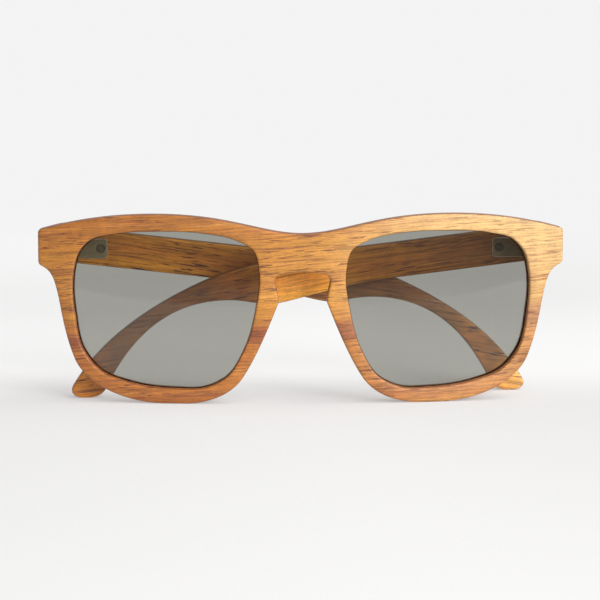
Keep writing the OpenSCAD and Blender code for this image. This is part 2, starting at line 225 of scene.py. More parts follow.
def straight(a, b):
    """Points of a line from a to b, without b."""
    steps = max(1, round(math.dist(a, b) / SPACING))
    return [(a[0] + (b[0] - a[0]) * i / steps, a[1] + (b[1] - a[1]) * i / steps) for i in range(steps)]


def closed_curve(points):
    """A smooth closed curve through the points."""
    n = len(points)
    p = [Vector(q) for q in points]
    span = [(p[(i + 1) % n] - p[i]).length for i in range(n)]
    slope = []
    for i in range(n):
        a, b = span[i - 1], span[i]
        slope.append(((p[(i + 1) % n] - p[i]) * (a / b) + (p[i] - p[i - 1]) * (b / a)) / (a + b))
    out = []
    for i in range(n):
        j = (i + 1) % n
        steps = max(CURVE_STEPS, round(span[i] / SPACING))
        for k in range(steps):
            t = k / steps
            s = 1 - t
            q = p[i] * (s * s * (1 + 2 * t)) + p[j] * (t * t * (1 + 2 * s))
            q += (slope[i] * s - slope[j] * t) * (span[i] * t * s)
            out.append((q.x, q.y))
    return out


def shift(loop, d):
    """An anticlockwise loop moved outwards by d."""
    n = len(loop)
    out = []
    for i in range(n):
        tx = loop[(i + 1) % n][0] - loop[i - 1][0]
        tz = loop[(i + 1) % n][1] - loop[i - 1][1]
        length = math.hypot(tx, tz)
        out.append((loop[i][0] + d * tz / length, loop[i][1] - d * tx / length))
    return out


def rim_point(x, z, w):
    """A place on the outside of a rim, in half widths and half heights of the lens."""
    return LENS_X + x * LENS_W / 2 + w, LENS_Z + z * LENS_H / 2


NOSE_LOW = rim_point(-0.627, -0.88, -NOSE_RIM)
NOSE_HIGH = (NOSE_GAP / 2, GAP_Z)


def front_outline():
    """Outline of the front, anticlockwise."""
    waist = rim_point(1.02, 0.23, SIDE_RIM)
    rim_low = rim_point(0.84, -0.63, SIDE_RIM)
    brow = (LENS_X + BROW_OUT, TOP_Z)
    end_turn = (HALF_W - END_CURL, END_FOOT)
    key_side = (KEYHOLE_W / 2, NOTCH_Z - KEYHOLE_ROUND)
    end_corner = (HALF_W - END_ROUND, END_TOP)
    end_top = (HALF_W, END_TOP - END_ROUND)
    curl_top = (HALF_W, END_FOOT + CURL_RISE)
    foot_out = (FOOT_X + FOOT_L / 2, 0)
    foot_in = (FOOT_X - FOOT_L / 2, 0)
    half = (
        bend((0, BRIDGE_TOP), brow, 0, 0, 0.28, 0.51)
        + bend(brow, end_corner, 0, -15, 0.385, 0.325)
        + bend(end_corner, end_top, -15, -90, 0.43, 0.41)
        + straight(end_top, curl_top)
        + bend(curl_top, end_turn, -90, -155, 0.36, 0.36)
        + bend(end_turn, waist, -155, -104, 0.38, 0.45)
        + bend(waist, rim_low, -104, -112, 0.216, 0.423)
        + bend(rim_low, foot_out, -112, -180, 0.27, 0.42)
        + straight(foot_out, foot_in)
        + bend(foot_in, NOSE_LOW, 180, 127, 0.297, 0.38)
        + bend(NOSE_LOW, NOSE_HIGH, 125, 111, 0.272, 0.32)
        + bend(NOSE_HIGH, key_side, 106, 79, 0.237, 0.387)
        + bend(key_side, (0, NOTCH_Z), 81, 180, 0.26, 0.62)
        + [(0, NOTCH_Z)]
    )
    other = [(-x, z) for x, z in half[1:-1]]
    return half[::-1] + other


def temple_outline():
    """Outline of a temple as distance from the hinge and height, anticlockwise."""
    slope = math.tan(math.radians(TEMPLE_DROOP))

    def top(u):
        return HINGE_Z + TEMPLE_OVER - u * slope

    def low(u):
        return top(u) - TEMPLE_H

    ear_top = (EAR_L + EAR_SLANT, EAR_Z + EAR_H)
    tip_out = (TIP - TIP_SLANT, TIP_ROUND)
    tip_in = (TIP - TIP_W, TIP_IN_Z)
    heel = (EAR_L - HEEL_L, EAR_Z - HEEL_DROP)
    butt_in = TEMPLE_CORNER - BUTT
    butt_high = (-BUTT, top(-BUTT) - TEMPLE_CORNER)
    butt_low = (-BUTT, low(-BUTT) + TEMPLE_CORNER)
    foot_out = (TIP - TIP_ROUND, 0)
    foot_in = (TIP - TIP_ROUND - TIP_FLAT, 0)
    loop = (
        bend(butt_high, (butt_in, top(butt_in)), 90, -TEMPLE_DROOP, 0.4, 0.4)
        + straight((butt_in, top(butt_in)), (STRAIGHT_L, top(STRAIGHT_L)))
        + bend((STRAIGHT_L, top(STRAIGHT_L)), ear_top, -TEMPLE_DROOP, -24, 0.44, 0.24)
        + bend(ear_top, tip_out, -24, -60, 0.3, 0.35)
        + bend(tip_out, foot_out, -62, -180, 0.44, 0.5)
        + straight(foot_out, foot_in)
        + bend(foot_in, tip_in, 180, 124, 0.33, 0.36)
        + bend(tip_in, (EAR_L, EAR_Z), 116, 180, 0.3, 0.45)
        + bend((EAR_L, EAR_Z), heel, 180, 180, 0.43, 0.345)
        + bend(heel, (LOW_L, low(LOW_L)), 180, 180 - TEMPLE_DROOP, 0.13, 0.464)
        + straight((LOW_L, low(LOW_L)), (butt_in, low(butt_in)))
        + bend((butt_in, low(butt_in)), butt_low, 180 - TEMPLE_DROOP, 90, 0.4, 0.4)
        + straight(butt_low, butt_high)
    )
    return loop[::-1]


def lens_outline():
    """Outline of a lens opening about the middle of the lens, anticlockwise."""
    return closed_curve([(x * LENS_W / 2, z * LENS_H / 2) for x, z in LENS_SHAPE])


def rounding(r):
    """Inset and depth of the rings over a rounded edge, from the face to the wall."""
    rings = []
    for k in range(ROUND_STEPS + 1):
        a = math.pi / 2 * k / ROUND_STEPS
        rings.append((r * (1 - math.sin(a)), r * (1 - math.cos(a))))
    return rings


# Faces of the front

def face_y(x):
    """Depth of the front's face."""
    return FRONT_R - math.sqrt(FRONT_R ** 2 - x * x)


def plain_rear_y(x):
    """Depth of the front's rear face without pads and end blocks."""
    return FRONT_R - math.sqrt((FRONT_R - FRONT_T) ** 2 - x * x)


def pad_rise(x, z):
    """Height of the carved nose pads behind the front."""
    length = math.dist(NOSE_LOW, NOSE_HIGH)
    along = ((NOSE_HIGH[0] - NOSE_LOW[0]) / length, (NOSE_HIGH[1] - NOSE_LOW[1]) / length)
    dx = abs(x) - NOSE_HIGH[0]
    dz = z - NOSE_HIGH[1]
    on = dx * along[0] + dz * along[1] + PAD_L * PAD_PLACE
    off = dx * along[1] - dz * along[0]
    dome = max(0.0, 1 - (on / (PAD_L / 2)) ** 2) ** PAD_FULLNESS
    return PAD_DEPTH * PAD_SHARE * dome * (1 - ease((off - PAD_FLAT) / (PAD_W - PAD_TRIM)))


def end_rise(x, z):
    """Height of the thicker end pieces behind the front."""
    ramp = ease((abs(x) - BLOCK_FROM) / BLOCK_RAMP) * ease((z - END_FOOT + BLOCK_BELOW) / BLOCK_FOOT_RAMP)
    return ramp * max(0.0, plain_rear_y(HALF_W) - plain_rear_y(x))


def rear_y(x, z):
    """Depth of the front's rear face."""
    return plain_rear_y(x) + pad_rise(x, z) + end_rise(x, z)


def ball_y(s, z, depth):
    """Depth of a lens face, a ball round the middle of the front's curve, in the lens's own frame."""
    return FRONT_R - math.sqrt((FRONT_R - depth) ** 2 - s * s - z * z)


def from_lens(point, side):
    """A point in the left lens's own frame, placed in the row frame, or mirrored for the right lens."""
    s, y, z = point
    c, n = math.cos(LENS_TURN), math.sin(LENS_TURN)
    x = LENS_X + s * c - y * n
    return side * x, face_y(LENS_X) + s * n + y * c - MID_Y, LENS_Z + z


# Meshes

def side_name(side):
    """The name of a side: 1 is left and -1 is right."""
    return "left" if side > 0 else "right"


def inside(points, loop):
    """Which of the points lie inside a loop."""
    p = np.array(points)
    a = np.array(loop)
    b = np.roll(a, -1, axis=0)
    hit = np.zeros(len(p), bool)
    for (x0, z0), (x1, z1) in zip(a, b):
        crosses = (z0 > p[:, 1]) != (z1 > p[:, 1])
        rise = z1 - z0 if z1 != z0 else 1.0
        hit ^= crosses & (p[:, 0] < (x1 - x0) * (p[:, 1] - z0) / rise + x0)
    return hit


class Skin:
    """A mesh made of rings of points, strips between rings, and filled faces."""

    def __init__(self):
        self.points = []
        self.faces = []

    def ring(self, points):
        """Adds points, and gives back their numbers."""
        first = len(self.points)
        self.points += [tuple(p) for p in points]
        return list(range(first, len(self.points)))

    def strip(self, a, b):
        """Faces between two rings of as many points."""
        n = len(a)
        self.faces += [(a[i], a[(i + 1) % n], b[(i + 1) % n], b[i]) for i in range(n)]

    def strips(self, rings):
        """Faces from ring to ring, and the numbers of the first and the last ring."""
        ids = [self.ring(r) for r in rings]
        for a, b in zip(ids, ids[1:]):
            self.strip(a, b)
        return ids[0], ids[-1]

    def fill(self, edge, holes, lift, pitch):
        """Fills the flat loop of an edge ring, less its holes. Each is (ring numbers, flat loop).

        Points inside lie in rows at a pitch, and lift places them in space.
        """
        flat, edges, ids = [], [], []
        for ring, loop in [edge] + holes:
            first = len(flat)
            n = len(loop)
            flat += loop
            ids += ring
            edges += [(first + i, first + (i + 1) % n) for i in range(n)]
        border = np.array(flat)
        low, high = border.min(axis=0), border.max(axis=0)
        row_h = pitch * math.sqrt(3) / 2
        grid = [
            (low[0] + pitch * (i + 0.5 * (j % 2)), low[1] + row_h * j)
            for j in range(int((high[1] - low[1]) / row_h) + 1)
            for i in range(int((high[0] - low[0]) / pitch) + 1)
        ]
        keep = inside(grid, edge[1])
        for _, loop in holes:
            keep &= ~inside(grid, loop)
        inner = []
        for p in np.array(grid)[keep]:
            if np.min(np.hypot(border[:, 0] - p[0], border[:, 1] - p[1])) > EDGE_CLEAR * pitch:
                inner.append((float(p[0]), float(p[1])))
        got = delaunay_2d_cdt([Vector(p) for p in flat + inner], edges, [], 1, SAME_POINT)
        coords, triangles, origin = got[0], got[2], got[3]
        index = []
        for p, source in zip(coords, origin):
            if source and source[0] < len(ids):
                index.append(ids[source[0]])
            else:
                index.append(len(self.points))
                self.points.append(tuple(lift(p.x, p.y)))
        middles = [sum((coords[i] for i in t), Vector((0, 0))) / 3 for t in triangles]
        keep = np.ones(len(middles), bool)
        for _, loop in holes:
            keep &= ~inside(middles, loop)
        self.faces += [tuple(index[i] for i in t) for t, k in zip(triangles, keep) if k]

    def object(self, name, rim=None):
        """An object of this mesh in metres, its normals outwards, with the points of its rim marked."""
        mesh = bpy.data.meshes.new(name)
        mesh.from_pydata([tuple(c * MM for c in p) for p in self.points], [], self.faces)
        if rim is not None:
            marks = mesh.attributes.new("rim", "FLOAT", "POINT")
            marks.data.foreach_set("value", [1.0 if i in rim else 0.0 for i in range(len(self.points))])
        bm = bmesh.new()
        bm.from_mesh(mesh)
        bmesh.ops.remove_doubles(bm, verts=bm.verts, dist=SAME_POINT)
        bmesh.ops.recalc_face_normals(bm, faces=bm.faces)
        bm.to_mesh(mesh)
        bm.free()
        piece = bpy.data.objects.new(name, mesh)
        bpy.context.scene.collection.objects.link(piece)
        return piece


def prism(name, loop, low_y, high_y):
    """A closed prism of a loop in the X-Z plane."""
    skin = Skin()
    a, b = skin.strips([[(x, y, z) for x, z in loop] for y in (low_y, high_y)])
    skin.faces += [tuple(a), tuple(b[::-1])]
    return skin.object(name)


def round_plate(low, high, r):
    """Outline of a plate with round corners."""
    loop = []
    middles = [(high[0] - r, high[1] - r), (low[0] + r, high[1] - r),
               (low[0] + r, low[1] + r), (high[0] - r, low[1] + r)]
    for i, (x, z) in enumerate(middles):
        for k in range(CORNER_STEPS + 1):
            a = math.radians(90 * i + 90 / CORNER_STEPS * k)
            loop.append((x + r * math.cos(a), z + r * math.sin(a)))
    return loop


def hinge_pocket(low, high):
    """Outline of the pocket for a hinge's plate, between two places along X."""
    half = HOUSING_H / 2
    return round_plate((low, HINGE_Z - half - PLAY), (high, HINGE_Z + half + PLAY), PLATE_ROUND + PLAY)


def disc(x, z, r):
    """Outline of a round hole."""
    turns = [math.tau * k / HOLE_SIDES for k in range(HOLE_SIDES)]
    return [(x + r * math.cos(a), z + r * math.sin(a)) for a in turns]


def cut(piece, tools):
    """Takes the tools out of a piece for good, and closes the slivers that this leaves open."""
    for tool in tools:
        hole = piece.modifiers.new(tool.name, "BOOLEAN")
        hole.operation = "DIFFERENCE"
        hole.solver = "EXACT"
        hole.object = tool
    graph = bpy.context.evaluated_depsgraph_get()
    mesh = bpy.data.meshes.new_from_object(piece.evaluated_get(graph))
    bm = bmesh.new()
    bm.from_mesh(mesh)
    slivers = [v for v in bm.verts if any(len(e.link_faces) != 2 for e in v.link_edges)]
    bmesh.ops.remove_doubles(bm, verts=slivers, dist=SLIVER * MM)
    bm.to_mesh(mesh)
    bm.free()
    piece.modifiers.clear()
    old = piece.data
    piece.data = mesh
    mesh.name = piece.name
    bpy.data.meshes.remove(old)
    for tool in tools:
        shape = tool.data
        bpy.data.objects.remove(tool)
        bpy.data.meshes.remove(shape)


def shade(piece, angle):
    """Smooth shading with sharp edges over an angle, and how far each point faces sideways."""
    mesh = piece.data
    mesh.shade_smooth()
    mesh.set_sharp_from_angle(angle=math.radians(angle))
    wall = mesh.attributes.new("wall", "FLOAT", "POINT")
    values = [1 - ease((abs(v.normal.y) - WALL_FROM) / WALL_SPAN) for v in mesh.vertices]
    wall.data.foreach_set("value", values)


def soften(node, worn_highlight, size):
    """Small round edges on a metal node, in a finish made bright by wear and by a painted highlight."""
    node.data.materials.append(worn_highlight)
    node.modifiers.new("weld", "WELD").merge_threshold = size * MM / WELD_PARTS
    flat = node.modifiers.new("flat", "DECIMATE")
    flat.decimate_type = "DISSOLVE"
    flat.angle_limit = math.radians(METAL_FLAT)
    edge = node.modifiers.new("edge", "BEVEL")
    edge.width = size * MM
    edge.segments = EDGE_STEPS
    edge.angle_limit = math.radians(METAL_SHARP)
    edge.use_clamp_overlap = False
    edge.material = len(node.data.materials) - 1


def build_front():
    """The wooden front with its lens grooves, nose pads and hinge pockets."""
    skin = Skin()
    outline = front_outline()
    edge = rounding(FRONT_EDGE)

    def face_ring(d, h):
        return [(x, face_y(x) + h - MID_Y, z) for x, z in shift(outline, -d)]

    def rear_ring(d, h):
        return [(x, rear_y(x, z) - h - MID_Y, z) for x, z in shift(outline, -d)]

    rings = [face_ring(d, h) for d, h in edge] + [rear_ring(d, h) for d, h in edge[::-1]]
    face_ids, rear_ids = skin.strips(rings)
    inset = shift(outline, -FRONT_EDGE)
    rear_r = FRONT_R - FRONT_T
    face_edge = (face_ids, [(FRONT_R * math.asin(x / FRONT_R), z) for x, z in inset])
    rear_edge = (rear_ids, [(FRONT_R * math.asin(x / rear_r), z) for x, z in inset])

    opening = lens_outline()
    lip = rounding(LIP_EDGE)
    rear_lip = rounding(REAR_LIP_EDGE)
    groove_front, groove_rear = LENS_SET - PLAY, LENS_SET + LENS_T + PLAY
    seat = LENS_SEAT + PLAY

    def lens_ring(d, depth, side):
        return [from_lens((s, depth(s, z), z), side) for s, z in shift(opening, d)]

    face_holes, rear_holes = [], []
    for side in (1, -1):
        rings = [lens_ring(d, lambda s, z, h=h: face_y(s) + h, side) for d, h in lip]
        rings += [
            lens_ring(d, lambda s, z, g=g: ball_y(s, z, g), side)
            for d, g in ((0, groove_front), (seat, groove_front), (seat, groove_rear), (0, groove_rear))
        ]
        rings += [lens_ring(d, lambda s, z, h=h: plain_rear_y(s) - h, side) for d, h in rear_lip[::-1]]
        face_in, rear_in = skin.strips(rings)
        for holes, ids, d, r in (
                (face_holes, face_in, LIP_EDGE, FRONT_R), (rear_holes, rear_in, REAR_LIP_EDGE, rear_r)):
            holes.append((ids, [
                (side * FRONT_R * (math.asin(s / r) + LENS_TURN), LENS_Z + z) for s, z in shift(opening, d)
            ]))

    def on_face(a, z):
        x = FRONT_R * math.sin(a / FRONT_R)
        return x, face_y(x) - MID_Y, z

    def on_rear(a, z):
        x = rear_r * math.sin(a / FRONT_R)
        return x, rear_y(x, z) - MID_Y, z

    skin.fill(face_edge, face_holes, on_face, FRONT_PITCH)
    skin.fill(rear_edge, rear_holes, on_rear, FRONT_PITCH)
    piece = skin.object("front")

    end_y = HINGE_Y - HINGE_BACK - MID_Y
    tools = []
    for side in (1, -1):
        x = side * HINGE_X
        reach = sorted((x - side * LEAF_IN, x + side * LEAF_FROM))
        plate = hinge_pocket(reach[0] - PLAY, reach[1] + PLAY)
        tools.append(prism("pocket", plate, end_y - LEAF_T - PLAY, end_y + OVER))
        for rise in (-HOUSING_H / 4, HOUSING_H / 4):
            screw = disc(x + side * LEAF_SCREW_X, HINGE_Z + rise, SCREW_R)
            tools.append(prism("hole", screw, end_y - LEAF_T - LEAF_SCREW_DEEP, end_y - LEAF_T / 2))
    cut(piece, tools)
    shade(piece, WOOD_SHARP)
    return piece


def build_lens(side):
    """A closed curved lens, with a fine chamfer round its edge and a line of painted shade where it enters
    the rim's groove.
    """
    skin = Skin()
    opening = lens_outline()
    front, rear = LENS_SET, LENS_SET + LENS_T
    clear = shift(opening, -LENS_SHADE_LINE)

    def ring(d, depth, h=0.0):
        return [from_lens((s, ball_y(s, z, depth) + h, z), side) for s, z in shift(opening, d)]

    rings = [ring(-LENS_SHADE_LINE, front), ring(-LENS_SHADE_LINE / 2, front), ring(LENS_SEAT - LENS_EDGE, front),
             ring(LENS_SEAT, front, LENS_EDGE), ring(LENS_SEAT, rear, -LENS_EDGE),
             ring(LENS_SEAT - LENS_EDGE, rear), ring(-LENS_SHADE_LINE / 2, rear), ring(-LENS_SHADE_LINE, rear)]
    face_ids, rear_ids = skin.strips(rings)
    rim = set(range(face_ids[-1] + 1, rear_ids[0]))
    for ids, depth in ((face_ids, front), (rear_ids, rear)):
        def on_ball(s, z, g=depth):
            return from_lens((s, ball_y(s, z, g), z), side)

        skin.fill((ids, clear), [], on_ball, LENS_PITCH)
    piece = skin.object("lens_glass_" + side_name(side), rim)
    piece.data.shade_smooth()
    piece.data.set_sharp_from_angle(angle=math.radians(LENS_SHARP))
    return piece


def temple_place(side):
    """Places a temple's own frame, along the temple, into it and up, in the row frame."""
    hinge = (side * HINGE_X * MM, (HINGE_Y - MID_Y) * MM, 0)
    return Matrix.Translation(hinge) @ Matrix.Rotation(LEAN, 4, "Z")


def build_spring(side):
    """A coil spring round the slider's rod, at its rest length; the housing shortens the real spring when the
    temple slides out.
    """
    skin = Skin()
    rings = COIL_STEPS * SPRING_TURNS
    start = SPRING_FROM + WIRE_R + PLAY
    pitch = (SPRING_L - 2 * (WIRE_R + PLAY)) / rings
    coil = []
    for i in range(rings + 1):
        turn = math.tau * i / COIL_STEPS
        ring = []
        for k in range(WIRE_SIDES):
            part = math.tau * k / WIRE_SIDES
            r = COIL_R + WIRE_R * math.cos(part)
            u = start + pitch * i + WIRE_R * math.sin(part)
            ring.append((-side * u, ROD_W + r * math.cos(turn), HINGE_Z + r * math.sin(turn)))
        coil.append(ring)
    first, last = skin.strips(coil)
    skin.faces += [tuple(first), tuple(last[::-1])]
    piece = skin.object("spring_coil_" + side_name(side))
    piece.data.shade_smooth()
    piece.matrix_world = temple_place(side)
    return piece


def build_temple(side):
    """A wooden temple in its own frame: along the temple, into it, and up."""
    skin = Skin()
    outline = temple_outline()
    if side > 0:
        outline = [(-u, z) for u, z in outline[::-1]]
    edge = rounding(TEMPLE_EDGE)
    rings = [[(u, TEMPLE_IN + h, z) for u, z in shift(outline, -d)] for d, h in edge]
    rings += [[(u, TEMPLE_OUT - h, z) for u, z in shift(outline, -d)] for d, h in edge[::-1]]
    inner, outer = skin.strips(rings)
    inset = shift(outline, -TEMPLE_EDGE)
    for ids, w in ((inner, TEMPLE_IN), (outer, TEMPLE_OUT)):
        skin.fill((ids, inset), [], lambda u, z, w=w: (u, w, z), TEMPLE_PITCH)
    piece = skin.object("temple_wood_" + side_name(side))

    reach = sorted((side * (BUTT + 2 * PLATE_ROUND), -side * (HOUSING_TO + PLAY)))
    screw = disc(-side * HOUSING_SCREW_U, HINGE_Z, SCREW_R)
    tools = [
        prism("pocket", hinge_pocket(*reach), 0, HOUSING_DEEP),
        prism("hole", screw, TEMPLE_IN + OVER, HOUSING_DEEP + OVER),
    ]
    cut(piece, tools)
    shade(piece, WOOD_SHARP)
    piece.matrix_world = temple_place(side)
    return piece


# Materials

class Graph:
    """Nodes of a material or a world, with short calls for the kinds used here."""

    def __init__(self, owner):
        self.owner = owner
        owner.use_nodes = True
        self.tree = owner.node_tree
        self.tree.nodes.clear()

    def node(self, kind, **settings):
        """A new node with some of its settings."""
        made = self.tree.nodes.new(kind)
        for key, value in settings.items():
            setattr(made, key, value)
        return made

    def set(self, socket, value):
        """Links another node's output to a socket, or sets the socket's own value."""
        if isinstance(value, bpy.types.NodeSocket):
            self.tree.links.new(value, socket)
        else:
            socket.default_value = value

    def set_all(self, sockets, values):
        for socket, value in zip(sockets, values):
            self.set(socket, value)

    def place(self):
        """Where a point lies in its object, in metres."""
        return self.node("ShaderNodeTexCoord").outputs["Object"]

    def place_mm(self):
        """Where a point lies in its object, in millimetres."""
        return self.stretch(self.place(), (1 / MM, 1 / MM, 1 / MM))

    def mark(self, name):
        """A value that the mesh holds at its points."""
        return self.node("ShaderNodeAttribute", attribute_name=name).outputs["Fac"]

    def split(self, value):
        made = self.node("ShaderNodeSeparateXYZ")
        self.set(made.inputs[0], value)
        return made.outputs

    def join(self, *parts):
        made = self.node("ShaderNodeCombineXYZ")
        self.set_all(made.inputs, parts)
        return made.outputs[0]

    def math(self, operation, a, b=0.0, clamp=False):
        made = self.node("ShaderNodeMath", operation=operation, use_clamp=clamp)
        self.set_all(made.inputs, (a, b))
        return made.outputs[0]

    def plus(self, a, b):
        return self.math("ADD", a, b)

    def minus(self, a, b):
        return self.math("SUBTRACT", a, b)

    def times(self, a, b, clamp=False):
        return self.math("MULTIPLY", a, b, clamp)

    def stretch(self, value, scale, add=(0, 0, 0)):
        """A place with its axes scaled and then moved."""
        made = self.node("ShaderNodeVectorMath", operation="MULTIPLY_ADD")
        self.set_all(made.inputs, (value, scale, add))
        return made.outputs[0]

    def noise(self, where, detail=2.0, rough=0.5):
        made = self.node("ShaderNodeTexNoise")
        self.set(made.inputs["Vector"], where)
        self.set(made.inputs["Scale"], 1.0)
        self.set(made.inputs["Detail"], detail)
        self.set(made.inputs["Roughness"], rough)
        return made.outputs["Fac"]

    def ramp(self, value, table):
        """Colours that blend from place to place, from a table of places and colours."""
        low, high = table[0][0], table[-1][0]
        made = self.node("ShaderNodeValToRGB")
        self.set(made.inputs[0], self.math("DIVIDE", self.minus(value, low), high - low))
        bar = made.color_ramp
        while len(bar.elements) < len(table):
            bar.elements.new(0.5)
        for element, (at, colour) in zip(bar.elements, table):
            element.position = (at - low) / (high - low)
            element.color = (*colour[:3], 1)
        return made.outputs["Color"]

    def range(self, value, low, high, to_low=0.0, to_high=1.0, kind="SMOOTHSTEP"):
        """A value from low to high, turned into one from to_low to to_high."""
        made = self.node("ShaderNodeMapRange", interpolation_type=kind)
        self.set_all(made.inputs, (value, low, high, to_low, to_high))
        return made.outputs[0]

    def mix(self, factor, a, b, blend="MIX"):
        """One of two colours, or a blend of both."""
        made = self.node("ShaderNodeMix", data_type="RGBA", blend_type=blend)
        self.set_all((made.inputs[0], made.inputs[6], made.inputs[7]), (factor, a, b))
        return made.outputs[2]

    def pick(self, factor, a, b):
        """One of two numbers."""
        made = self.node("ShaderNodeMix", data_type="FLOAT")
        self.set_all((made.inputs[0], made.inputs[2], made.inputs[3]), (factor, a, b))
        return made.outputs[0]

    def bump(self, height, distance, strength):
        made = self.node("ShaderNodeBump")
        self.set(made.inputs["Strength"], strength)
        self.set(made.inputs["Distance"], distance)
        self.set(made.inputs["Height"], height)
        return made.outputs["Normal"]

    def shader(self, kind, values):
        """A shader with values at named sockets."""
        made = self.node(kind)
        for name, value in values.items():
            self.set(made.inputs[name], value)
        return made.outputs[0]

    def mix_shader(self, factor, a, b):
        made = self.node("ShaderNodeMixShader")
        self.set_all(made.inputs, (factor, a, b))
        return made.outputs[0]

    def seen_ray(self):
        """1 for rays that see the background directly, in a mirror or through glass."""
        rays = self.node("ShaderNodeLightPath").outputs
        direct = self.math("MAXIMUM", rays["Is Camera Ray"], rays["Is Glossy Ray"])
        return self.math("MAXIMUM", direct, rays["Is Transmission Ray"])

    def surface(self, shader):
        """Ends the graph with a shader, and gives back its material or world."""
        kind = "World" if isinstance(self.owner, bpy.types.World) else "Material"
        out = self.node("ShaderNodeOutput" + kind)
        self.set(out.inputs["Surface"], shader)
        return self.owner


def rgb(red, green, blue):
    """A colour as seen on screen, 0 to 255, as the linear colour that Blender takes."""
    def linear(v):
        v /= 255
        return v / 12.92 if v <= 0.04045 else ((v + 0.055) / 1.055) ** 2.4
    return linear(red), linear(green), linear(blue), 1


# Layers of the grain: waves per millimetre along, into and up the wood, a shift, detail and roughness
GRAIN = {
    "broad": ((0.011, 0.03, 0.26), (0, 0, 0), 3, 0.55),
    "streak": ((0.026, 0.08, 0.9), (7, 3, 5), 4, 0.62),
    "line": ((0.012, 0.05, 0.6), (3, 6, 1), 2, 0.55),
    "fibre": ((0.07, 0.25, 3.0), (2, 9, 4), 3, 0.7),
    "hair": ((0.07, 0.25, 3.4), (4, 7, 9), 1, 0.5),
    "pore": ((0.22, 0.4, 3.2), (11, 1, 8), 1, 0.4),
    "speck": ((1.1, 0.5, 2.4), (8, 2, 3), 2, 0.6),
    "group": ((0.03, 0.05, 0.35), (1, 4, 6), 2, 0.5),
    "figure": ((0.3, 0.15, 0.09), (5, 5, 5), 2, 0.5),
}

# How the grain wanders up and down: waves per millimetre, and millimetres
WANDER_WAVES = (0.018, 0.03, 0.045)
WANDER_RISE = 5.0

# The middle of a noise, how far the streaks stir the bands, and the shift of a mirrored grain's +X side
NOISE_MID = 0.5
BAND_STIR = 5.0
OTHER_SIDE_SHIFT = 40.0

# Tints of the grain as seen on screen, and the share of each
BROAD_TINT = (164, 92, 40)
BROAD_SHARE = 0.32
STREAK_PALE = (226, 168, 92)
STREAK_DARK = (150, 84, 36)
STREAK_SHARE = 0.36
LINE_TINT = (120, 62, 26)
LINE_SHARE = 0.55
PORE_TINT = (98, 42, 16)
PORE_SHARE = 0.85
# Share of the darker wall colour, partly painted shade
WALL_SHADE_SHARE = 0.8

# How much the fine layers darken and lighten the wood
FIBRE_DARK = 0.22
FIBRE_LIGHT = 0.26
HAIR_DARK = 0.3
FIGURE_LIGHT = 0.06
SPECK_LIGHT = 0.12

# The paler patch, partly paler wood and partly painted sheen: its places along X and up, least share and
# weaker grain; and the ramp of a calm stretch
PALE_SHEEN_SIDE = (0, 40)
PALE_SHEEN_HEIGHT = (10, 42)
PALE_SHEEN_LEAST = 0.3
PALE_SHEEN_CALM = 0.45
CALM_RAMP = 3

# The wood's finish: roughness between fibres and on them, reflection, depth of fibres, and relief in metres
WOOD_ROUGH = 0.6
FIBRE_ROUGH = 0.48
WOOD_SPECULAR = 0.65
FIBRE_DEPTH = 0.5
WOOD_RELIEF = 0.00004
WOOD_BUMP = 0.6


